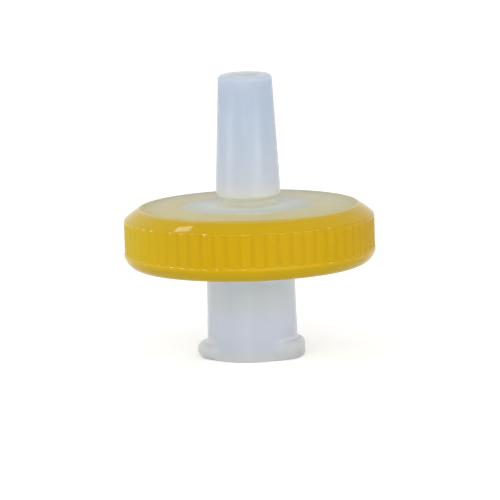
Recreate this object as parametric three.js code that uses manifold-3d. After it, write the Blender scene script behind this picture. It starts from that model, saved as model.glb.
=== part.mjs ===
// Syringe filter, 13 mm membrane class: two luer housings clamped on a membrane by a moulded grip ring.
// Millimetres, +Z up. The axis of the filter is Z, the origin is in the plane of the inlet's rim, and
// the inlet's two lugs lie along +X and -X.
import * as THREE from "three";
import { mergeVertices } from "three/addons/utils/BufferGeometryUtils.js";
import Module from "manifold-3d";

const wasm = await Module();
wasm.setup();

// ---- Driving dimensions ----------------------------------------------------------------------

// Membrane and the chamber on each side of it.
const membraneRadius = 6.5;
const membraneThickness = 0.18;
const clampWidth = 1.75; // width of the ring on which the membrane is gripped
const chamberDepth = 0.45;
const lipWidth = 0.2; // wall round the membrane's edge
const fitClearance = 0.02; // between round faces that fit in each other

// Disc: two flanges with the web of the grip ring between them.
const flangeThickness = 1.05;
const webThickness = 2.2;
const webDepth = 1.36;
const centreRise = 0.1; // low round pad over the chamber, at the foot of the tip
const centreBevel = 0.1;

// Female luer inlet, below the disc.
const hubHeight = 6.85;
const hubWall = 1.15;
const hubDraft = 0.011; // radius lost for each millimetre of height
const hubFillet = 0.3;
const rimBevel = 0.08;
const socketMouthRadius = 2.145;
const socketTaper = 0.03; // the 6 % luer taper, as radius for each millimetre of depth
const socketFloor = 1.15; // plastic between the socket's end and the chamber
const passageRadius = 0.9;

// Lugs of the luer lock, at the inlet's rim.
const lugReach = 0.63;
const lugHeight = 1.28;
const lugSweep = 102; // degrees
const lugEndRun = 10; // degrees over which a lug rises from the hub's wall
const lugUpperRound = 0.5;
const lugLowerRound = 0.32;

// Male luer outlet, above the disc.
const tipEndRadius = 1.967;
const tipTaper = 0.0474; // radius for each millimetre of length
const tipLength = 8.95;
const tipEdgeRound = 0.36;
const tipEndRound = 0.34;
const neckHeight = 0.74;
const neckUndercut = 0.4;
const neckFillet = 0.2;
const boreRadius = 1.15;

// Grip ring.
const ringWall = 1.14; // from the flange's edge to the top of the ribs
const ringLand = 0.05; // flat of the ring beside the top disc
const ringBaseLand = 0.42; // and beside the bottom disc
const upperShoulder = 0.84; // height of the straight slope above the ribs
const lowerShoulder = 1.0; // and of the rounded one below them
const lowerFullness = 0.5; // 0 for a straight slope, 1 for a curve drawn out to the square corner
const ribCount = 60;
const grooveMouth = 0.42;
const grooveFloor = 0.16;
const grooveDepth = 0.12;

// Ribs that hold the membrane off the chamber's walls.
const spreaderCount = 8;
const spreaderHeight = 0.25;
const supportCount = 12;
const supportRidges = 2;
const supportWidth = 0.35;

// ---- Levels and radii that follow from them ---------------------------------------------------

const discTop = hubHeight + 2 * flangeThickness + webThickness;
const webBottom = hubHeight + flangeThickness;
const webTop = webBottom + webThickness;
const clampBottom = (hubHeight + discTop - membraneThickness) / 2;
const clampTop = clampBottom + membraneThickness;
const chamberFloor = clampBottom - chamberDepth;
const chamberCeiling = clampTop + chamberDepth;
const chamberRadius = membraneRadius - clampWidth;
const pocketRadius = membraneRadius + fitClearance;
const bossRadius = pocketRadius + lipWidth;
const flangeRadius = bossRadius + webDepth;
const gripRadius = flangeRadius + ringWall;

const socketDepth = chamberFloor - socketFloor;
const socketEndRadius = socketMouthRadius - socketTaper * socketDepth;
const rimRadius = socketMouthRadius + hubWall;
const hubTopRadius = rimRadius - hubDraft * hubHeight;
const lugRadius = rimRadius + lugReach;

const coneStart = discTop + neckHeight;
const tipEnd = coneStart + tipLength;
const tipBaseRadius = tipEndRadius + tipTaper * tipLength;
const neckRadius = tipBaseRadius - neckUndercut;
const padTop = discTop + centreRise;

// ---- Making and joining solids ------------------------------------------------------------------

const roundSides = 60;
const overlap = 0.1; // how far a joined rib is sunk into what carries it
const cutMargin = 1; // how far a trimming or cutting solid runs past the part
const arcSteps = 3;
const lugSteps = 34;

const degrees = (angle) => (angle * Math.PI) / 180;

// Points of an arc in a profile, as [radius, level], angles in degrees from the outward direction.
function arc(centre, radius, from, to) {
  return Array.from({ length: arcSteps + 1 }, (_, step) => {
    const angle = degrees(from + ((to - from) * step) / arcSteps);
    return [centre[0] + radius * Math.cos(angle), centre[1] + radius * Math.sin(angle)];
  });
}

// A closed profile of [radius, level] points turned about Z, outer side going up.
function turned(profile, sides = roundSides) {
  const points = profile.map(([radius, level]) => new THREE.Vector2(radius, level));
  if (profile[0][0] > 0) points.push(points[0].clone());
  return solid(new THREE.LatheGeometry(points, sides).rotateX(Math.PI / 2));
}

// A closed geometry as a solid: shared corners are merged, and triangles that this collapses are dropped.
function solid(geometry) {
  geometry.deleteAttribute("normal");
  geometry.deleteAttribute("uv");
  const merged = mergeVertices(geometry, 1e-5);
  const corners = merged.getIndex().array;
  const triangles = [];
  for (let i = 0; i < corners.length; i += 3) {
    const [a, b, c] = corners.subarray(i, i + 3);
    if (a !== b && b !== c && c !== a) triangles.push(a, b, c);
  }
  return new wasm.Manifold(
    new wasm.Mesh({
      numProp: 3,
      vertProperties: Float32Array.from(merged.getAttribute("position").array),
      triVerts: Uint32Array.from(triangles),
    }),
  );
}

// A straight bar along a radius, at the given angle in degrees.
function radialBar(innerRadius, outerRadius, bottom, top, width, angle) {
  const bar = new THREE.BoxGeometry(outerRadius - innerRadius, width, top - bottom);
  bar.translate((innerRadius + outerRadius) / 2, 0, (bottom + top) / 2);
  return solid(bar.rotateZ(degrees(angle)));
}

// A body joined with bars that stand round its chamber, from near the hole to the chamber's wall.
function withRadialBars(body, count, innerRadius, bottom, top, turn) {
  let joined = body;
  for (let i = 0; i < count; i += 1) {
    const angle = turn + (360 * i) / count;
    const bar = radialBar(innerRadius, chamberRadius + overlap, bottom, top, supportWidth, angle);
    joined = joined.add(bar);
  }
  return joined;
}

// A solid as a named mesh.
function meshOf(name, body, material) {
  const { vertProperties, triVerts } = body.getMesh();
  const geometry = new THREE.BufferGeometry();
  geometry.setAttribute("position", new THREE.BufferAttribute(vertProperties, 3));
  geometry.setIndex(new THREE.BufferAttribute(triVerts, 1));
  geometry.computeVertexNormals();
  const mesh = new THREE.Mesh(geometry, material);
  mesh.name = name;
  return mesh;
}

// ---- Inlet housing --------------------------------------------------------------------------------

// Outline of a lug from above: it rises out of the hub's wall and falls back into it in rounded ramps.
function lugOutline() {
  const half = lugSweep / 2;
  const points = [new THREE.Vector2(0, 0)];
  for (let step = 0; step <= lugSteps; step += 1) {
    const angle = half * ((2 * step) / lugSteps - 1);
    const rise = Math.min((half - Math.abs(angle)) / lugEndRun, 1);
    const radius = rimRadius - overlap + (lugReach + 2 * overlap) * Math.sqrt(rise * (2 - rise));
    points.push(new THREE.Vector2(radius, 0).rotateAround(points[0], degrees(angle)));
  }
  return new THREE.Shape(points);
}

// One lug: a collar with rounded edges that starts inside the hub's wall, kept within the outline.
function lug(direction) {
  const rootRadius = rimRadius - hubWall / 2;
  const upper = Math.min(lugUpperRound, lugReach * 0.9, lugHeight * 0.5);
  const lower = Math.min(lugLowerRound, lugReach * 0.9, lugHeight * 0.4);
  const collar = turned([
    [rootRadius, 0],
    ...arc([lugRadius - lower, lower], lower, -90, 0),
    ...arc([lugRadius - upper, lugHeight - upper], upper, 0, 90),
    [rootRadius, lugHeight],
  ]);
  const slab = new THREE.ExtrudeGeometry(lugOutline(), {
    depth: lugHeight + 2 * cutMargin,
    bevelEnabled: false,
  });
  slab.translate(0, 0, -cutMargin);
  return collar.intersect(solid(slab.rotateZ(degrees(direction))));
}

// Lower housing: hub, socket, passage, chamber, lip and flange in one turned profile, with its lugs.
function inletHousing() {
  const fillet = Math.min(hubFillet, (flangeRadius - hubTopRadius) / 2);
  const body = turned([
    [socketMouthRadius + rimBevel, 0],
    [rimRadius - rimBevel, 0],
    [rimRadius, rimBevel],
    ...arc([hubTopRadius + fillet, hubHeight - fillet], fillet, 180, 90),
    [flangeRadius, hubHeight],
    [flangeRadius, webBottom],
    [bossRadius, webBottom],
    [bossRadius, clampTop],
    [pocketRadius, clampTop],
    [pocketRadius, clampBottom],
    [chamberRadius, clampBottom],
    [chamberRadius, chamberFloor],
    [passageRadius, chamberFloor],
    [passageRadius, socketDepth],
    [socketEndRadius, socketDepth],
    [socketMouthRadius, rimBevel],
  ]);
  const spreaderTop = chamberFloor + Math.min(spreaderHeight, chamberDepth);
  const ribbed = withRadialBars(
    body,
    spreaderCount,
    passageRadius + supportWidth,
    chamberFloor - overlap,
    spreaderTop,
    0,
  );
  return ribbed.add(lug(0)).add(lug(180));
}

// ---- Outlet housing -------------------------------------------------------------------------------

// Upper housing: chamber, flange, pad, neck and tip in one turned profile, with ridges over the membrane.
function outletHousing() {
  const edgeRound = Math.min(tipEdgeRound, neckUndercut * 0.9);
  const endRound = Math.min(tipEndRound, (tipEndRadius - boreRadius) * 0.5);
  const fillet = Math.min(neckFillet, (neckHeight - centreRise) * 0.5);
  const body = turned([
    [boreRadius, chamberCeiling],
    [chamberRadius, chamberCeiling],
    [chamberRadius, clampTop],
    [bossRadius, clampTop],
    [bossRadius, webTop],
    [flangeRadius, webTop],
    [flangeRadius, discTop],
    [chamberRadius, discTop],
    [chamberRadius - centreBevel, padTop],
    ...arc([neckRadius + fillet, padTop + fillet], fillet, 270, 180),
    [neckRadius, coneStart],
    ...arc([tipBaseRadius - edgeRound, coneStart + edgeRound], edgeRound, -90, 0),
    ...arc([tipEndRadius - endRound, tipEnd - endRound], endRound, 0, 90),
    [boreRadius, tipEnd],
  ]);
  let ridged = body;
  const span = chamberRadius - boreRadius;
  for (let i = 1; i <= supportRidges; i += 1) {
    const middle = boreRadius + (span * i) / (supportRidges + 1);
    ridged = ridged.add(
      turned([
        [middle - supportWidth / 2, clampTop],
        [middle + supportWidth / 2, clampTop],
        [middle + supportWidth / 2, chamberCeiling + overlap],
        [middle - supportWidth / 2, chamberCeiling + overlap],
      ]),
    );
  }
  return withRadialBars(
    ridged,
    supportCount,
    boreRadius + supportWidth,
    clampTop,
    chamberCeiling + overlap,
    180 / supportCount,
  );
}

// ---- Membrane -------------------------------------------------------------------------------------

function membrane() {
  return turned([
    [0, clampBottom],
    [membraneRadius, clampBottom],
    [membraneRadius, clampTop],
    [0, clampTop],
  ]);
}

// ---- Grip ring ------------------------------------------------------------------------------------

// Outline of the ribs from above: broad flat ribs with narrow grooves between them.
function ribOutline() {
  const points = [];
  const floorRadius = gripRadius - grooveDepth;
  for (let i = 0; i < ribCount; i += 1) {
    const middle = (2 * Math.PI * i) / ribCount;
    for (const [radius, offset] of [
      [gripRadius, -grooveMouth / 2],
      [floorRadius, -grooveFloor / 2],
      [floorRadius, grooveFloor / 2],
      [gripRadius, grooveMouth / 2],
    ]) {
      const angle = middle + offset / radius;
      points.push(new THREE.Vector2(radius * Math.cos(angle), radius * Math.sin(angle)));
    }
  }
  return new THREE.Shape(points);
}

// A shoulder's profile, from its edge on the disc to the ribs and as far again past them as a groove is deep.
function shoulder(edgeRadius, edgeLevel, cornerLevel, fullness) {
  const edge = new THREE.Vector2(edgeRadius, edgeLevel);
  const corner = new THREE.Vector2(gripRadius, cornerLevel);
  const square = new THREE.Vector2(gripRadius, edgeLevel);
  const control = edge.clone().lerp(corner, 0.5).lerp(square, fullness);
  const curve = new THREE.QuadraticBezierCurve(edge, control, corner);
  const past = corner.clone().sub(control).setLength(grooveDepth).add(corner);
  const points = [...curve.getPoints(fullness > 0 ? arcSteps : 1), past];
  return points.map((point) => point.toArray());
}

// The ring: ribs above a plain foot, trimmed by the shoulders, and hollowed for the housings so that its
// web stays between their flanges.
function gripRing() {
  const ribs = new THREE.ExtrudeGeometry(ribOutline(), {
    depth: discTop - hubHeight + 2 * cutMargin,
    bevelEnabled: false,
  });
  ribs.translate(0, 0, hubHeight - cutMargin);
  const foot = turned(
    [
      [0, hubHeight - cutMargin],
      [gripRadius, hubHeight - cutMargin],
      [gripRadius, hubHeight + lowerShoulder],
      [0, hubHeight + lowerShoulder],
    ],
    ribCount * 2,
  );
  const upperEdge = flangeRadius + ringLand;
  const lowerEdge = flangeRadius + ringBaseLand;
  const shoulders = turned(
    [
      [0, hubHeight],
      ...shoulder(lowerEdge, hubHeight, hubHeight + lowerShoulder, lowerFullness),
      ...shoulder(upperEdge, discTop, discTop - upperShoulder, 0).reverse(),
      [0, discTop],
    ],
    ribCount * 2,
  );
  const seat = flangeRadius + fitClearance;
  const boss = bossRadius + fitClearance;
  const housings = turned([
    [0, hubHeight - cutMargin],
    [seat, hubHeight - cutMargin],
    [seat, webBottom],
    [boss, webBottom],
    [boss, webTop],
    [seat, webTop],
    [seat, discTop + cutMargin],
    [0, discTop + cutMargin],
  ]);
  return solid(ribs).add(foot).intersect(shoulders).subtract(housings);
}

// ---- The filter -----------------------------------------------------------------------------------

const naturalPlastic = new THREE.MeshStandardMaterial({ color: 0xc3cad2, roughness: 0.3, metalness: 0 });
const yellowPlastic = new THREE.MeshStandardMaterial({ color: 0xd0aa18, roughness: 0.35, metalness: 0 });
const whiteMembrane = new THREE.MeshStandardMaterial({ color: 0xf2f2ee, roughness: 0.9, metalness: 0 });

const syringeFilter = new THREE.Group();
syringeFilter.add(
  meshOf("inlet_housing", inletHousing(), naturalPlastic),
  meshOf("outlet_housing", outletHousing(), naturalPlastic),
  meshOf("membrane", membrane(), whiteMembrane),
  meshOf("grip_ring", gripRing(), yellowPlastic),
);

export default syringeFilter;
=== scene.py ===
"""Syringe filter: smooth moulded skins, materials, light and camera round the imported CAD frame.

Everything is in metres in the CAD frame: +Z runs from the inlet's rim to the outlet tip, and the
inlet's lugs lie along +X (the right one) and -X (the left one).
"""

import math

import bpy
import numpy as np
from mathutils import Matrix, Vector


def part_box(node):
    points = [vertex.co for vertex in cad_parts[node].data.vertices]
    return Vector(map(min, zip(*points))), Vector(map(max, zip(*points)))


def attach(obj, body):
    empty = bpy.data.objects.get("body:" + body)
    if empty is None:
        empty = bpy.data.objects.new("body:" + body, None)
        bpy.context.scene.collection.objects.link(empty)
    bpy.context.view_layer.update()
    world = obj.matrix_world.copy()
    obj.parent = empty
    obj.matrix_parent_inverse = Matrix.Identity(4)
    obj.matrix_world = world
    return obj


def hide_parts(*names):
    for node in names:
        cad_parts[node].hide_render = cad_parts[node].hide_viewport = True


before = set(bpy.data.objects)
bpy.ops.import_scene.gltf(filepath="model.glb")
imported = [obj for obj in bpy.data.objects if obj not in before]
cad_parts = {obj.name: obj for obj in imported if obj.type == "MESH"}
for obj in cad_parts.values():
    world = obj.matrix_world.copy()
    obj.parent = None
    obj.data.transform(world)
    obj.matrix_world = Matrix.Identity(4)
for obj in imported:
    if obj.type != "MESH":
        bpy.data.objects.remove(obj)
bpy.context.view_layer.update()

MM = 0.001
WHITE = (1, 1, 1, 1)
PAPER_WHITE = (0.96, 0.96, 0.96, 1)
UP = Vector((0, 0, 1))

# ---- Sizes read from the frame ---------------------------------------------------------------------

RING_LOW, RING_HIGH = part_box("grip_ring")
MEMBRANE_LOW, MEMBRANE_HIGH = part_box("membrane")
INLET_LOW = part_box("inlet_housing")[0]
OUTLET_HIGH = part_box("outlet_housing")[1]

RIM = INLET_LOW.z
DISC_BOTTOM = RING_LOW.z
DISC_TOP = RING_HIGH.z
TIP_END = OUTLET_HIGH.z
FLANGE_R = OUTLET_HIGH.x
GRIP_R = RING_HIGH.x
CLAMP_BOTTOM = MEMBRANE_LOW.z
CLAMP_TOP = MEMBRANE_HIGH.z
MEMBRANE_R = MEMBRANE_HIGH.x

# ---- Disc: flanges, clamp and chambers -------------------------------------------------------------

FLANGE_THICKNESS = 1.05 * MM
WEB_BOTTOM = DISC_BOTTOM + FLANGE_THICKNESS
WEB_TOP = DISC_TOP - FLANGE_THICKNESS
WEB_GAP = 0.02 * MM
BOSS_R = MEMBRANE_R + 0.22 * MM
POCKET_R = MEMBRANE_R + 0.02 * MM
CHAMBER_R = MEMBRANE_R - 1.75 * MM
CHAMBER_DEPTH = 0.45 * MM
CHAMBER_FLOOR = CLAMP_BOTTOM - CHAMBER_DEPTH
CHAMBER_CEILING = CLAMP_TOP + CHAMBER_DEPTH
FINE_ROUND = 0.03 * MM

BAR_WIDTH = 0.35 * MM
BAR_SINK = 0.05 * MM
BAR_TO_HOLE = 0.35 * MM
LOWER_BARS = 8
LOWER_BAR_HEIGHT = 0.25 * MM
UPPER_BARS = 12
UPPER_BARS_TURN = 15
BOX_FACES = ((3, 2, 1, 0), (4, 5, 6, 7), (0, 1, 5, 4), (1, 2, 6, 5), (2, 3, 7, 6), (3, 0, 4, 7))

# ---- Hub, socket and lugs --------------------------------------------------------------------------

RIM_R = 3.295 * MM
HUB_FOOT_R = RIM_R - 0.12 * MM
HUB_TOP_R = 3.22 * MM
SOCKET_MOUTH_R = 2.145 * MM
SOCKET_END_R = 1.926 * MM
PASSAGE_R = 0.9 * MM
PASSAGE_LENGTH = 1.15 * MM
SOCKET_END = CHAMBER_FLOOR - PASSAGE_LENGTH

LUG_R = 3.925 * MM
LUG_HEIGHT = 1.28 * MM
LUG_TOP = RIM + LUG_HEIGHT
LUG_CLIMB = 0.04 * MM
LUG_UPPER_ROUND = 0.44 * MM
LUG_FILLET = 0.25 * MM
LUG_SWEEP = 112
LUG_END_RUN = 34
HUB_ABOVE_LUGS = LUG_TOP + 0.5 * MM
HUB_COLUMNS = 360

# Each lug: how far it reaches past LUG_R, the round at its foot, and how far its top lies above LUG_TOP.
RIGHT_LUG = (-0.08 * MM, 0.24 * MM, 0.06 * MM)
LEFT_LUG = (0.12 * MM, 0.62 * MM, -0.16 * MM)

# ---- Neck and tip ----------------------------------------------------------------------------------

PAD_FOOT_R = CHAMBER_R + 0.15 * MM
PAD_EDGE_R = CHAMBER_R - 0.25 * MM
PAD_TOP = DISC_TOP + 0.1 * MM
NECK_R = 1.99 * MM
NECK_FILLET = 0.42 * MM
CONE_START = DISC_TOP + 0.74 * MM
TIP_BASE_R = 2.39 * MM
TIP_END_R = 1.967 * MM
BORE_R = 1.15 * MM
TIP_COLUMNS = 240

# ---- Grip ring -------------------------------------------------------------------------------------

RIBS = 60
WALL_R = GRIP_R - 0.003 * MM
GROOVE_MOUTH = 0.42 * MM
GROOVE_FLOOR = 0.16 * MM
GROOVE_DEPTH = 0.075 * MM
GROOVE_RUN_OUT = 0.15 * MM
RIB_CHAMFER = 0.052 * MM
RIB_CHAMFER_TILT = 25
RIB_ROUNDING = 0.02 * MM
CHAMFER_ROUNDING = 0.012 * MM

UPPER_CORNER = DISC_TOP - 0.84 * MM
LOWER_CORNER = DISC_BOTTOM + 0.87 * MM
LOWER_EDGE_R = FLANGE_R + 0.42 * MM
PARTING_LEVEL = LOWER_CORNER + 0.06 * MM
PARTING_STEP = 0.042 * MM
PARTING_RUN = 0.09 * MM
SLOPE_BULGE = 0.034 * MM
SINK_MARK = 0.006 * MM
SINK_MARK_START = 0.06
SINK_MARK_SPAN = 0.14
FLANGE_LAP = 0.12 * MM
LAP_ABOVE = 0.001 * MM
LAP_BELOW = 0.004 * MM

# ---- Profiles and turned meshes --------------------------------------------------------------------


def rounded(corners, steps=5):
    """A closed profile of (radius, level, rounding) corners, each rounding drawn as an arc."""
    points = []
    for i, (radius, level, rounding) in enumerate(corners):
        here = Vector((radius, level))
        if rounding == 0:
            points.append(tuple(here))
            continue
        back = Vector(corners[i - 1][:2]) - here
        ahead = Vector(corners[(i + 1) % len(corners)][:2]) - here
        half = back.angle(ahead) / 2
        cut = rounding / math.tan(half)
        start = here + back.normalized() * cut
        end = here + ahead.normalized() * cut
        inward = (back.normalized() + ahead.normalized()).normalized()
        centre = here + inward * rounding / math.sin(half)
        turn = math.pi - 2 * half
        for k in range(steps + 1):
            swept = turn * k / steps
            spoke = (start - centre) * math.sin(turn - swept) + (end - centre) * math.sin(swept)
            points.append(tuple(centre + spoke / math.sin(turn)))
    return points


def resampled(points, count):
    """The same line with that many evenly spaced points."""
    points = np.array(points)
    steps = np.linalg.norm(np.diff(points, axis=0), axis=1)
    travelled = np.concatenate([[0], np.cumsum(steps)])
    wanted = np.linspace(0, travelled[-1], count)
    return np.stack([np.interp(wanted, travelled, points[:, k]) for k in (0, 1)], axis=1)


def eased(value):
    """0 to 1 with a soft start and end."""
    value = np.clip(value, 0, 1)
    return value * value * (3 - 2 * value)


def softer_minimum(a, b, rounding):
    """The lesser of two surfaces with the edge between them rounded."""
    share = np.clip(0.5 + 0.5 * (b - a) / rounding, 0, 1)
    return b + (a - b) * share - rounding * share * (1 - share) * 0.5


def turned_grid(name, radii, levels, angles):
    """A closed mesh whose rows are a profile loop and whose columns are angles round Z."""
    rows, columns = radii.shape
    x = radii * np.cos(angles)
    y = radii * np.sin(angles)
    vertices = np.stack([x, y, levels], axis=2).reshape(-1, 3)
    faces = []
    for i in range(rows):
        row = i * columns
        next_row = (i + 1) % rows * columns
        for j in range(columns):
            beside = (j + 1) % columns
            faces.append((row + j, row + beside, next_row + beside, next_row + j))
    mesh = bpy.data.meshes.new(name)
    mesh.from_pydata(vertices.tolist(), [], faces)
    mesh.validate()
    piece = bpy.data.objects.new(name, mesh)
    bpy.context.collection.objects.link(piece)
    return piece


def turned(name, profile, columns):
    """A mesh of revolution from a closed profile, outer side going up."""
    profile = np.array(profile)
    angles = np.linspace(0, 2 * math.pi, columns, endpoint=False)
    radii = np.repeat(profile[:, :1], columns, axis=1)
    levels = np.repeat(profile[:, 1:], columns, axis=1)
    return turned_grid(name, radii, levels, angles)


def smoothed(piece, sharp_angle=38, flat_faces_first=True):
    """Smooth shading up to a sharp angle in degrees, with flat faces kept flat beside their rounds."""
    piece.data.shade_smooth()
    piece.data.set_sharp_from_angle(angle=math.radians(sharp_angle))
    if flat_faces_first:
        weighted = piece.modifiers.new("weighted_normals", "WEIGHTED_NORMAL")
        weighted.keep_sharp = True
    return piece


def with_bars(piece, count, inner_r, bottom, top, turn):
    """Adds radial bars inside the chamber, sunk a little into its wall."""
    mesh = piece.data
    vertices = [tuple(v.co) for v in mesh.vertices]
    faces = [tuple(p.vertices) for p in mesh.polygons]
    outer_r = CHAMBER_R + BAR_SINK
    for i in range(count):
        spin = Matrix.Rotation(turn + 2 * math.pi * i / count, 3, "Z")
        first = len(vertices)
        for level in (bottom, top):
            for radius, side in ((inner_r, -1), (outer_r, -1), (outer_r, 1), (inner_r, 1)):
                vertices.append(tuple(spin @ Vector((radius, side * BAR_WIDTH / 2, level))))
        for face in BOX_FACES:
            faces.append(tuple(first + corner for corner in face))
    mesh.clear_geometry()
    mesh.from_pydata(vertices, [], faces)


# ---- Pieces ----------------------------------------------------------------------------------------


def outlet_skin():
    """Upper housing with its tip, as one turned moulding, and the bars under its chamber's ceiling."""
    profile = rounded([
        (BORE_R, CHAMBER_CEILING, 0.1 * MM),
        (CHAMBER_R, CHAMBER_CEILING, 0.08 * MM),
        (CHAMBER_R, CLAMP_TOP, FINE_ROUND),
        (BOSS_R, CLAMP_TOP, FINE_ROUND),
        (BOSS_R, WEB_TOP, 0.05 * MM),
        (FLANGE_R, WEB_TOP, FINE_ROUND),
        (FLANGE_R, DISC_TOP, 0.01 * MM),
        (PAD_FOOT_R, DISC_TOP, 0.5 * MM),
        (PAD_EDGE_R, PAD_TOP, 0.5 * MM),
        (NECK_R, PAD_TOP, NECK_FILLET),
        (NECK_R, CONE_START, 0.08 * MM),
        (TIP_BASE_R, CONE_START, 0.34 * MM),
        (TIP_END_R, TIP_END, 0.35 * MM),
        (BORE_R, TIP_END, 0.12 * MM),
    ], steps=7)
    piece = turned("outlet_skin", profile, TIP_COLUMNS)
    top = CHAMBER_CEILING + BAR_SINK
    with_bars(piece, UPPER_BARS, BORE_R + BAR_TO_HOLE, CLAMP_TOP, top, math.radians(UPPER_BARS_TURN))
    return smoothed(piece)


def lug_rise(angles):
    """How far each angle stands in a lug: 1 along it, 0 on the bare hub, rounded at the ends."""
    half = math.radians(LUG_SWEEP / 2)
    from_middle = np.abs((angles + math.pi / 2) % math.pi - math.pi / 2)
    return eased((half - from_middle) / math.radians(LUG_END_RUN))


def lug_side(reach, foot_round, lift):
    """A lug's section from the rim up to the bare hub, as rows of (radius, level) for all columns."""
    top = LUG_TOP + lift
    side = rounded([
        (HUB_FOOT_R, RIM, 0),
        (LUG_R + reach, RIM, foot_round),
        (LUG_R + reach, top, LUG_UPPER_ROUND),
        (RIM_R, top + LUG_CLIMB, LUG_FILLET),
        (RIM_R, HUB_ABOVE_LUGS, 0),
    ], steps=9)
    return np.array(side)[:, :, None]


def hub_side(angles):
    """The hub's lower side at each angle: bare hub that rises into the right and the left lug."""
    lug = np.where(np.cos(angles) > 0, lug_side(*RIGHT_LUG), lug_side(*LEFT_LUG))
    bare = rounded([(HUB_FOOT_R, RIM, 0), (RIM_R, RIM, 0.1 * MM), (RIM_R, HUB_ABOVE_LUGS, 0)], steps=6)
    bare = resampled(bare, len(lug))[:, :, None]
    return bare + (lug - bare) * lug_rise(angles)


def inlet_skin():
    """Lower housing: hub with its two lugs, socket, flange, and the bars on its chamber's floor."""
    upper_and_inner = rounded([
        (HUB_TOP_R, DISC_BOTTOM, 0.3 * MM),
        (FLANGE_R, DISC_BOTTOM, FINE_ROUND),
        (FLANGE_R, WEB_BOTTOM, FINE_ROUND),
        (BOSS_R, WEB_BOTTOM, 0.05 * MM),
        (BOSS_R, CLAMP_TOP, FINE_ROUND),
        (POCKET_R, CLAMP_TOP, FINE_ROUND),
        (POCKET_R, CLAMP_BOTTOM, FINE_ROUND),
        (CHAMBER_R, CLAMP_BOTTOM, FINE_ROUND),
        (CHAMBER_R, CHAMBER_FLOOR, 0.08 * MM),
        (PASSAGE_R, CHAMBER_FLOOR, 0.1 * MM),
        (PASSAGE_R, SOCKET_END, 0.05 * MM),
        (SOCKET_END_R, SOCKET_END, 0.15 * MM),
        (SOCKET_MOUTH_R, RIM, 0.12 * MM),
        (RIM_R, RIM, 0),
    ])[:-1]
    angles = np.linspace(0, 2 * math.pi, HUB_COLUMNS, endpoint=False)
    rest = np.repeat(np.array(upper_and_inner)[:, :, None], HUB_COLUMNS, axis=2)
    loop = np.concatenate([hub_side(angles), rest], axis=0)
    piece = turned_grid("inlet_skin", loop[:, 0], loop[:, 1], angles)
    bottom = CHAMBER_FLOOR - BAR_SINK
    top = CHAMBER_FLOOR + LOWER_BAR_HEIGHT
    with_bars(piece, LOWER_BARS, PASSAGE_R + BAR_TO_HOLE, bottom, top, 0)
    return smoothed(piece)


def groove_depths():
    """Angles round the ring with the groove's share of its depth, closer together over a groove.

    The mouth is drawn a little wider and the floor narrower than named, which rounds the ribs.
    """
    wider_mouth = 1.15
    narrower_floor = 0.6
    half_pitch = math.pi * GRIP_R / RIBS
    reach = wider_mouth * GROOVE_MOUTH / 2
    bed = narrower_floor * GROOVE_FLOOR / 2
    steps = [reach * t for t in (0.15, 0.3, 0.45, 0.6, 0.75, 0.88, 1.0, 1.15)]
    offsets = [-o for o in reversed(steps)] + [0] + steps + [half_pitch]
    angles = []
    shares = []
    for rib in range(RIBS):
        for offset in offsets:
            angles.append(2 * math.pi * rib / RIBS + offset / GRIP_R)
            shares.append(eased((reach - abs(offset)) / (reach - bed)))
    return np.array(angles), np.array(shares)


def lower_round():
    """The ring's lower round as one curve, and its straight run past the lower corner."""
    square = Vector((GRIP_R, DISC_BOTTOM))
    edge = Vector((LOWER_EDGE_R, DISC_BOTTOM))
    corner = Vector((GRIP_R, LOWER_CORNER))
    control = edge.lerp(corner, 0.5).lerp(square, 0.5)
    onward = (corner - control).normalized()
    shares = (0, 0.02, 0.06, 0.15, 0.25, 0.35, 0.45, 0.55, 0.65, 0.74, 0.82, 0.88, 0.93, 0.97, 1)
    past = (0.03, 0.06, 0.075, 0.09, 0.105, 0.12, 0.135, 0.15)
    past += (0.165, 0.19, 0.22, 0.25, 0.29, 0.34, 0.4, 0.9)
    side = [edge * (1 - t) ** 2 + control * 2 * t * (1 - t) + corner * t * t for t in shares]
    return side + [corner + onward * step * MM for step in past]


def upper_slope():
    """The ring's slope from below the upper corner to the disc, with its bulge and its sink mark."""
    edge = Vector((FLANGE_R, DISC_TOP + LAP_ABOVE))
    corner = Vector((GRIP_R, UPPER_CORNER))
    slope = corner - edge
    out = Vector((-slope.y, slope.x)).normalized() * SLOPE_BULGE
    down = (slope - out * 4).normalized()
    painted_shade_below = (0.9, 0.3, 0.22, 0.18, 0.15, 0.13, 0.11, 0.09, 0.07, 0.05, 0.03, 0.015)
    along = (1, 0.985, 0.97, 0.955, 0.94, 0.925, 0.91, 0.89, 0.87, 0.85, 0.82, 0.78, 0.7, 0.6)
    along += (0.5, 0.4, 0.3, 0.22, 0.2, 0.18, 0.16, 0.14, 0.12, 0.1, 0.08, 0.06, 0.03, 0)
    side = [corner + down * step * MM for step in painted_shade_below]
    for t in along:
        in_mark = min(max((t - SINK_MARK_START) / SINK_MARK_SPAN, 0), 1)
        sink = math.sin(math.pi * in_mark) ** 2 * SINK_MARK / SLOPE_BULGE
        side.append(edge + slope * t + out * (4 * t * (1 - t) - sink))
    return side + [edge - Vector((FLANGE_LAP, 0))]


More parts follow.
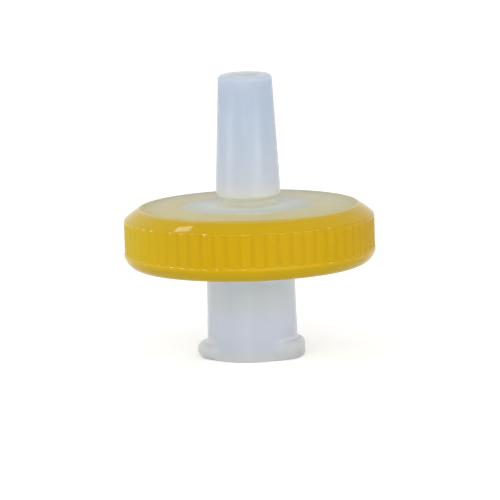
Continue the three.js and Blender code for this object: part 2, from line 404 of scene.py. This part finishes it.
def ring_skin():
    """The overmoulded ring: ribs between a straight upper slope and a rounded lower shoulder."""
    angles, shares = groove_depths()
    side = np.array([tuple(point) for point in lower_round() + upper_slope()])
    limits = np.repeat(side[:, :1], len(angles), axis=1)
    outer_z = np.repeat(side[:, 1:], len(angles), axis=1)

    above_parting = outer_z - PARTING_LEVEL
    step_in = PARTING_STEP * np.clip(above_parting / PARTING_RUN, 0, 1) * (1 - shares[None, :])
    run_out = eased((above_parting - PARTING_RUN) / GROOVE_RUN_OUT)
    wall = WALL_R - step_in - GROOVE_DEPTH * shares[None, :] * run_out
    tilt = math.radians(RIB_CHAMFER_TILT)
    reach = GRIP_R * math.cos(tilt) + UPPER_CORNER * math.sin(tilt) - RIB_CHAMFER
    chamfer = (reach - outer_z * math.sin(tilt)) / math.cos(tilt)
    ribbed = softer_minimum(limits, wall, RIB_ROUNDING)
    outer_r = softer_minimum(ribbed, chamfer, CHAMFER_ROUNDING)

    inner = np.array(rounded([
        (FLANGE_R - FLANGE_LAP, DISC_TOP - LAP_BELOW, 0),
        (FLANGE_R, DISC_TOP - LAP_BELOW, 0),
        (FLANGE_R, WEB_TOP, 0),
        (BOSS_R + WEB_GAP, WEB_TOP, FINE_ROUND),
        (BOSS_R + WEB_GAP, WEB_BOTTOM, FINE_ROUND),
        (FLANGE_R, WEB_BOTTOM, 0),
        (FLANGE_R, DISC_BOTTOM, 0),
    ], steps=2))
    inner_r = np.repeat(inner[:, :1], len(angles), axis=1)
    inner_z = np.repeat(inner[:, 1:], len(angles), axis=1)
    radii = np.concatenate([outer_r, inner_r], axis=0)
    levels = np.concatenate([outer_z, inner_z], axis=0)
    piece = turned_grid("ring_skin", radii, levels, angles)
    return smoothed(piece, sharp_angle=30, flat_faces_first=False)


# ---- Materials -------------------------------------------------------------------------------------


def srgb(red, green, blue):
    """A colour given in display values as the linear one that a shader takes."""
    def linear(value):
        value /= 255
        return value / 12.92 if value <= 0.04045 else ((value + 0.055) / 1.055) ** 2.4
    return (linear(red), linear(green), linear(blue), 1)


class Nodes:
    """A material's node tree, with short calls for the nodes that are used here."""

    def __init__(self, name):
        self.material = bpy.data.materials.new(name)
        self.material.use_nodes = True
        self.tree = self.material.node_tree
        self.shader = self.tree.nodes["Principled BSDF"]

    def link(self, source, target):
        self.tree.links.new(source, target)

    def drive_input(self, name, source):
        """Gives one of the shader's inputs a value that varies over the surface."""
        self.link(source, self.shader.inputs[name])

    def set_inputs(self, values):
        """Sets even values on the shader's own inputs."""
        for name, value in values.items():
            self.shader.inputs[name].default_value = value

    def add(self, kind, **settings):
        node = self.tree.nodes.new(kind)
        for key, value in settings.items():
            setattr(node, key, value)
        return node

    def feed(self, sockets, values):
        """Sets each socket to its value, or links it to its source."""
        for socket, value in zip(sockets, values):
            if isinstance(value, (int, float, tuple)):
                socket.default_value = value
            else:
                self.link(value, socket)

    def place(self):
        """Position in the part's own frame."""
        return self.add("ShaderNodeTexCoord").outputs["Object"]

    def coordinates(self, place):
        """A position's x, y, z and distance from the axis."""
        parts = self.add("ShaderNodeSeparateXYZ")
        self.link(place, parts.inputs[0])
        x, y, z = parts.outputs
        radius = self.math("SQRT", self.math("ADD", self.product(x, x), self.product(y, y)))
        return x, y, z, radius

    def math(self, operation, *values):
        node = self.add("ShaderNodeMath", operation=operation)
        self.feed(node.inputs, values)
        return node.outputs[0]

    def product(self, first, *others):
        for other in others:
            first = self.math("MULTIPLY", first, other)
        return first

    def between(self, value, low, high, to_low=0.0, to_high=1.0, smooth=True):
        """value mapped from low..high onto to_low..to_high."""
        node = self.add("ShaderNodeMapRange")
        node.interpolation_type = "SMOOTHSTEP" if smooth else "LINEAR"
        self.feed(node.inputs, (value, low, high, to_low, to_high))
        return node.outputs["Result"]

    def until(self, value, start, end):
        """1 below start, fading to 0 at end."""
        return self.between(value, start, end, 1.0, 0.0)

    def band(self, value, start, full, still_full, end):
        """Rises from 0 at start to 1 at full, and falls from 1 at still_full to 0 at end."""
        return self.product(self.between(value, start, full), self.until(value, still_full, end))

    def noise(self, vector, scale, detail=2.0):
        node = self.add("ShaderNodeTexNoise")
        self.link(vector, node.inputs["Vector"])
        node.inputs["Scale"].default_value = scale
        node.inputs["Detail"].default_value = detail
        return node.outputs["Fac"]

    def spread(self, noise, low=0.0, high=1.0):
        """The range that most of a noise lies in, spread over low..high."""
        return self.between(noise, 0.3, 0.7, low, high, smooth=False)

    def stretched(self, vector, factors):
        node = self.add("ShaderNodeVectorMath", operation="MULTIPLY")
        self.feed(node.inputs, (vector, factors))
        return node.outputs[0]

    def ramp(self, value, stops):
        """A colour ramp from (place, colour) stops."""
        node = self.add("ShaderNodeValToRGB")
        self.link(value, node.inputs[0])
        elements = node.color_ramp.elements
        while len(elements) < len(stops):
            elements.new(1.0)
        for element, (place, colour) in zip(elements, stops):
            element.position = place
            element.color = colour
        return node.outputs["Color"]

    def mix(self, share, a, b, blend="MIX"):
        node = self.add("ShaderNodeMix", data_type="RGBA", blend_type=blend)
        self.feed((node.inputs[0], node.inputs[6], node.inputs[7]), (share, a, b))
        return node.outputs[2]

    def darkened(self, colour, shade):
        """colour times a shade near 1."""
        grey = self.add("ShaderNodeCombineColor")
        self.feed(grey.inputs[:3], (shade, shade, shade))
        return self.mix(1.0, colour, grey.outputs[0], blend="MULTIPLY")

    def bump(self, height, strength, distance):
        node = self.add("ShaderNodeBump")
        node.inputs["Strength"].default_value = strength
        node.inputs["Distance"].default_value = distance
        self.link(height, node.inputs["Height"])
        self.drive_input("Normal", node.outputs["Normal"])


def column_colour(n, z):
    """Hub and tip by height above the rim: greyish hub, warm neck, bluish tip. The upper hub and the
    neck are painted light, lighter to offset the shade under the ring and under the tip's overhang.
    """
    tones = (
        (0.4 * MM, srgb(196, 199, 207)),
        (1.2 * MM, srgb(193, 201, 218)),
        # Painted light: the hub is lighter towards the ring, to offset the ring's shadow.
        (3.4 * MM, srgb(204, 212, 232)),
        (5.6 * MM, srgb(211, 221, 234)),
        # Painted light: the neck is near white, to offset the shade under the tip's overhang.
        (DISC_TOP + 0.3 * MM, srgb(254, 250, 203)),
        (CONE_START + 0.3 * MM, srgb(214, 217, 217)),
        (CONE_START + 1.1 * MM, srgb(200, 206, 221)),
        (CONE_START + 3.2 * MM, srgb(190, 201, 221)),
        (CONE_START + 5.8 * MM, srgb(182, 196, 218)),
        (CONE_START + 8.4 * MM, srgb(174, 186, 207)),
    )
    height = n.between(z, RIM, TIP_END, smooth=False)
    return n.ramp(height, [(level / (TIP_END - RIM), tone) for level, tone in tones])


def disc_colour(n, y, radius):
    """Disc by distance from the axis: painted light near white by the neck against the tip's shade,
    tinted by the ring outside the chamber.

    The tint is weaker towards +Y.
    """
    tones = (
        # Painted light: near white round the neck, to offset the shade of the tip on the disc.
        (0.0, srgb(250, 249, 224)),
        (2.2 * MM, srgb(230, 233, 222)),
        (3.3 * MM, srgb(210, 215, 205)),
        (4.2 * MM, srgb(199, 204, 192)),
        (5.4 * MM, srgb(217, 199, 134)),
        (7.0 * MM, srgb(220, 200, 127)),
        (FLANGE_R - 0.6 * MM, srgb(223, 201, 120)),
        (FLANGE_R - 0.15 * MM, srgb(208, 186, 98)),
    )
    across = n.between(radius, 0, GRIP_R, smooth=False)
    colour = n.ramp(across, [(reach / GRIP_R, tone) for reach, tone in tones])
    towards_back = n.between(y, -FLANGE_R, FLANGE_R, smooth=False)
    outside_chamber = n.between(radius, 4.2 * MM, 5.8 * MM)
    return n.mix(n.product(towards_back, outside_chamber), colour, srgb(213, 207, 180))


def natural_plastic():
    """Milky natural polypropylene with light scattered below its surface.

    There is no scattering at the flange's edge and in the folds above the lugs: beside a buried or
    facing wall it would draw a dark line. The folds are also painted lighter, as painted light
    against their shade.
    """
    fold_painted_light = 0.35
    disc_roughness = 0.4
    n = Nodes("natural_polypropylene")
    place = n.place()
    x, y, z, radius = n.coordinates(place)

    in_disc = n.band(
        z,
        DISC_BOTTOM - 0.4 * MM,
        DISC_BOTTOM - 0.1 * MM,
        DISC_TOP + 0.12 * MM,
        DISC_TOP + 0.4 * MM,
    )
    in_bore = n.product(
        n.until(radius, BORE_R + 0.02 * MM, BORE_R + 0.2 * MM),
        n.between(z, CONE_START, CONE_START + 2 * MM),
    )
    on_lugs = n.product(
        n.between(radius, RIM_R - 0.1 * MM, LUG_R),
        n.until(z, LUG_TOP, LUG_TOP + 0.8 * MM),
    )
    in_fold = n.product(
        n.band(z, LUG_TOP - 0.25 * MM, LUG_TOP, LUG_TOP + 0.1 * MM, LUG_TOP + 0.5 * MM),
        n.between(n.math("ABSOLUTE", x), 1.8 * MM, 3.0 * MM),
        n.until(radius, RIM_R + 0.3 * MM, RIM_R + 0.55 * MM),
    )
    inside_edge = n.until(radius, FLANGE_R - 0.55 * MM, FLANGE_R - 0.15 * MM)

    colour = n.mix(on_lugs, column_colour(n, z), srgb(194, 198, 202))
    # Painted light: the folds above the lugs are lighter, to offset their shade.
    colour = n.mix(n.product(in_fold, fold_painted_light), colour, srgb(232, 234, 240))
    colour = n.mix(in_disc, colour, disc_colour(n, y, radius))
    # Painted light: the bore is lighter, to offset the shade inside it.
    colour = n.mix(in_bore, colour, srgb(200, 208, 216))
    cloud = n.noise(place, 260, detail=3.0)
    streak = n.noise(n.stretched(place, (1, 1, 0.12)), 620)
    shade = n.product(n.spread(cloud, 0.985, 1.015), n.spread(streak, 0.975, 1.025))
    n.drive_input("Base Color", n.darkened(colour, shade))

    gloss = n.spread(n.noise(place, 2600), 0.16, 0.22)
    n.drive_input("Roughness", n.math("ADD", gloss, n.product(in_disc, disc_roughness)))
    n.bump(n.noise(place, 1400), strength=0.1, distance=0.004 * MM)
    n.drive_input("Subsurface Weight", n.product(inside_edge, n.math("SUBTRACT", 1.0, in_fold)))
    n.set_inputs({"Subsurface Radius": (1.0, 1.0, 1.0), "Subsurface Scale": 4 * MM})
    n.set_inputs({"IOR": 1.49, "Specular IOR Level": 0.18})
    return n.material


def yellow_plastic():
    """Glossy yellow overmould, satin on the wall, with painted shade and light: darker, more orange
    grooves, a darker lower shoulder, and more lemon towards -X.
    """
    wall_roughness = 0.45
    n = Nodes("yellow_overmould")
    place = n.place()
    x, _, z, radius = n.coordinates(place)

    on_wall = n.band(
        z,
        LOWER_CORNER - 0.5 * MM,
        LOWER_CORNER - 0.1 * MM,
        UPPER_CORNER,
        UPPER_CORNER + 0.15 * MM,
    )
    groove_painted_shade = n.product(n.until(radius, WALL_R - GROOVE_DEPTH, WALL_R - 0.01 * MM), on_wall)
    painted_light_left = n.until(x, -GRIP_R, -2 * MM)
    painted_shade_below = n.until(z, LOWER_CORNER - 0.35 * MM, LOWER_CORNER)
    at_flange = n.until(radius, FLANGE_R - 0.2 * MM, FLANGE_R + 0.3 * MM)
    satin = n.band(
        z,
        PARTING_LEVEL + 0.12 * MM,
        PARTING_LEVEL + 0.25 * MM,
        UPPER_CORNER - 0.2 * MM,
        UPPER_CORNER - 0.1 * MM,
    )

    flow = n.noise(place, 500, detail=3.0)
    colour = n.mix(n.spread(flow), srgb(200, 163, 0), srgb(204, 167, 0))
    # Painted shade: the grooves are darker and more orange.
    colour = n.mix(groove_painted_shade, colour, srgb(195, 154, 0))
    # Painted light: lighter and more lemon towards -X.
    colour = n.mix(painted_light_left, colour, srgb(208, 177, 0))
    # Painted shade: darker below the lower corner.
    colour = n.mix(painted_shade_below, colour, srgb(191, 159, 0))
    colour = n.mix(at_flange, colour, srgb(206, 182, 90))
    n.drive_input("Base Color", colour)

    gloss = n.spread(n.noise(place, 2200), 0.04, 0.08)
    n.drive_input("Roughness", n.math("ADD", gloss, n.product(satin, wall_roughness)))
    n.bump(n.noise(place, 1800), strength=0.25, distance=0.004 * MM)
    n.set_inputs({"Specular IOR Level": 0.13})
    return n.material


def membrane_film():
    """Matt white porous film with a fine grain."""
    n = Nodes("membrane_film")
    grain = n.noise(n.place(), 9000)
    n.drive_input("Base Color", n.mix(n.spread(grain), srgb(236, 236, 231), srgb(247, 247, 244)))
    n.bump(grain, strength=0.4, distance=0.01 * MM)
    n.set_inputs({"Roughness": 0.9, "Specular IOR Level": 0.2})
    return n.material


# ---- Stage, light and camera -----------------------------------------------------------------------


def ray_is_seen(tree):
    """1 for rays that show the background: from the camera, off gloss or through clear material."""
    path = tree.nodes.new("ShaderNodeLightPath")
    seen = path.outputs["Is Camera Ray"]
    for name in ("Is Glossy Ray", "Is Transmission Ray"):
        most = tree.nodes.new("ShaderNodeMath")
        most.operation = "MAXIMUM"
        tree.links.new(seen, most.inputs[0])
        tree.links.new(path.outputs[name], most.inputs[1])
        seen = most.outputs[0]
    return seen


def white_world(light):
    """White where it is seen, and a plain even light on everything else."""
    world = bpy.data.worlds.new("studio")
    bpy.context.scene.world = world
    world.use_nodes = True
    tree = world.node_tree
    shown = tree.nodes["Background"]
    shown.inputs["Color"].default_value = WHITE
    shown.inputs["Strength"].default_value = 1.0
    lighting = tree.nodes.new("ShaderNodeBackground")
    lighting.inputs["Color"].default_value = WHITE
    lighting.inputs["Strength"].default_value = light
    mix = tree.nodes.new("ShaderNodeMixShader")
    tree.links.new(ray_is_seen(tree), mix.inputs[0])
    tree.links.new(lighting.outputs[0], mix.inputs[1])
    tree.links.new(shown.outputs[0], mix.inputs[2])
    tree.links.new(mix.outputs[0], tree.nodes["World Output"].inputs[0])


def floor_paper(glow):
    """White paper, plus a glow where it is only seen, so that it keeps the object's shadow."""
    material = bpy.data.materials.new("white_floor")
    material.use_nodes = True
    tree = material.node_tree
    tree.nodes.remove(tree.nodes["Principled BSDF"])
    paper = tree.nodes.new("ShaderNodeBsdfDiffuse")
    paper.inputs["Color"].default_value = PAPER_WHITE
    light = tree.nodes.new("ShaderNodeEmission")
    strength = tree.nodes.new("ShaderNodeMath")
    strength.operation = "MULTIPLY"
    strength.inputs[1].default_value = glow
    tree.links.new(ray_is_seen(tree), strength.inputs[0])
    tree.links.new(strength.outputs[0], light.inputs["Strength"])
    both = tree.nodes.new("ShaderNodeAddShader")
    tree.links.new(paper.outputs[0], both.inputs[0])
    tree.links.new(light.outputs[0], both.inputs[1])
    tree.links.new(both.outputs[0], tree.nodes["Material Output"].inputs[0])
    return material


def white_floor(size, glow):
    """A plain square floor under the inlet's rim."""
    half = size / 2
    corners = [(-half, -half, 0), (half, -half, 0), (half, half, 0), (-half, half, 0)]
    mesh = bpy.data.meshes.new("floor")
    mesh.from_pydata(corners, [], [(0, 1, 2, 3)])
    mesh.materials.append(floor_paper(glow))
    floor = bpy.data.objects.new("floor", mesh)
    floor.location.z = RIM
    bpy.context.collection.objects.link(floor)


def direction(azimuth, elevation):
    """Unit vector seen from the part: azimuth 0 is towards -Y and 90 towards +X, in degrees."""
    a, e = math.radians(azimuth), math.radians(elevation)
    return Vector((math.sin(a) * math.cos(e), -math.cos(a) * math.cos(e), math.sin(e)))


def place_camera():
    """The camera of the reference view: far off, a little above the disc, and rolled by a hair."""
    distance = 0.5
    azimuth, elevation, roll = 11.0, 8.75, 1.75
    aim = Vector((0, 0, 7.84 * MM))
    pixels_per_metre = 13645
    frame_pixels = 500
    camera = bpy.data.cameras.new("camera")
    camera.sensor_width = 36
    camera.lens = camera.sensor_width * pixels_per_metre * distance / frame_pixels
    camera.clip_start = 0.05
    camera.clip_end = 20
    holder = bpy.data.objects.new("camera", camera)
    towards = direction(azimuth, elevation)
    holder.location = aim + towards * distance
    facing = towards.to_track_quat("Z", "Y").to_matrix()
    holder.rotation_euler = (facing @ Matrix.Rotation(math.radians(-roll), 3, "Z")).to_euler()
    bpy.context.collection.objects.link(holder)
    bpy.context.scene.camera = holder
    return holder.location.copy()


def panel(name, centre, aim, width, height, level):
    """A rectangular lamp facing aim, with its width horizontal.

    Its level is the share of a white world that it adds at aim.
    """
    outward = centre - aim
    lamp = bpy.data.lights.new(name, "AREA")
    lamp.shape = "RECTANGLE"
    lamp.size = width
    lamp.size_y = height
    lamp.energy = math.pi ** 2 * level * outward.length ** 2
    z = outward.normalized()
    y = z.cross(UP.cross(z)).normalized()
    x = y.cross(z)
    holder = bpy.data.objects.new(name, lamp)
    holder.location = centre
    holder.rotation_euler = Matrix((x, y, z)).transposed().to_euler()
    bpy.context.collection.objects.link(holder)


def softbox(name, azimuth, elevation, width, height, level, distance):
    """A panel round the disc."""
    aim = Vector((0, 0, (DISC_BOTTOM + DISC_TOP) / 2))
    panel(name, aim + direction(azimuth, elevation) * distance, aim, width, height, level)


def rib_glints(camera_at, level):
    """Small lamps, each placed where a chamfered rib corner mirrors it to the camera as a dot.

    A rib mirrors more at a grazing angle, so its lamp is weaker there, and the levels vary from rib
    to rib.
    """
    distance = 0.6
    width, height = 0.022, 0.018
    middle = (UPPER_CORNER + PARTING_LEVEL) / 2
    ribs_in_view = range(-11, 9)
    past_crest = 0.37
    grazing_gain = 95
    unevenness = 0.3
    for rib in ribs_in_view:
        azimuth = (rib + past_crest) * 360 / RIBS
        corner = direction(azimuth, 0) * GRIP_R + Vector((0, 0, middle))
        facing = direction(azimuth, RIB_CHAMFER_TILT)
        view = (camera_at - corner).normalized()
        mirrored = 2 * facing.dot(view) * facing - view
        sheen = 1 + grazing_gain * (1 - facing.dot(view)) ** 5
        uneven = 1 - unevenness + unevenness * math.sin(2.4 * rib)
        panel("glint", corner + mirrored * distance, corner, width, height, level * uneven / sheen)


# ---- The scene -------------------------------------------------------------------------------------


def dress(piece, node, material):
    """Puts a finished piece in a CAD node's place."""
    piece.data.materials.clear()
    piece.data.materials.append(material)
    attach(piece, "root")
    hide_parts(node)


camera_at = place_camera()
white_world(light=0.6)
white_floor(size=1.6, glow=0.35)
softbox("fill", azimuth=9, elevation=26, width=0.5, height=0.2, level=0.26, distance=0.6)
softbox("bar_left", azimuth=-59, elevation=-0.7, width=0.055, height=0.02, level=0.13, distance=0.12)
softbox("bar_right", azimuth=51, elevation=-0.7, width=0.055, height=0.02, level=0.16, distance=0.12)
softbox("patch", azimuth=-117, elevation=57, width=0.065, height=0.08, level=0.04, distance=0.6)
rib_glints(camera_at, level=0.0125)

natural = natural_plastic()
dress(outlet_skin(), "outlet_housing", natural)
dress(inlet_skin(), "inlet_housing", natural)
dress(ring_skin(), "grip_ring", yellow_plastic())
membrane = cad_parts["membrane"]
membrane.data.materials.clear()
membrane.data.materials.append(membrane_film())

bpy.context.scene.view_settings.view_transform = "Standard"
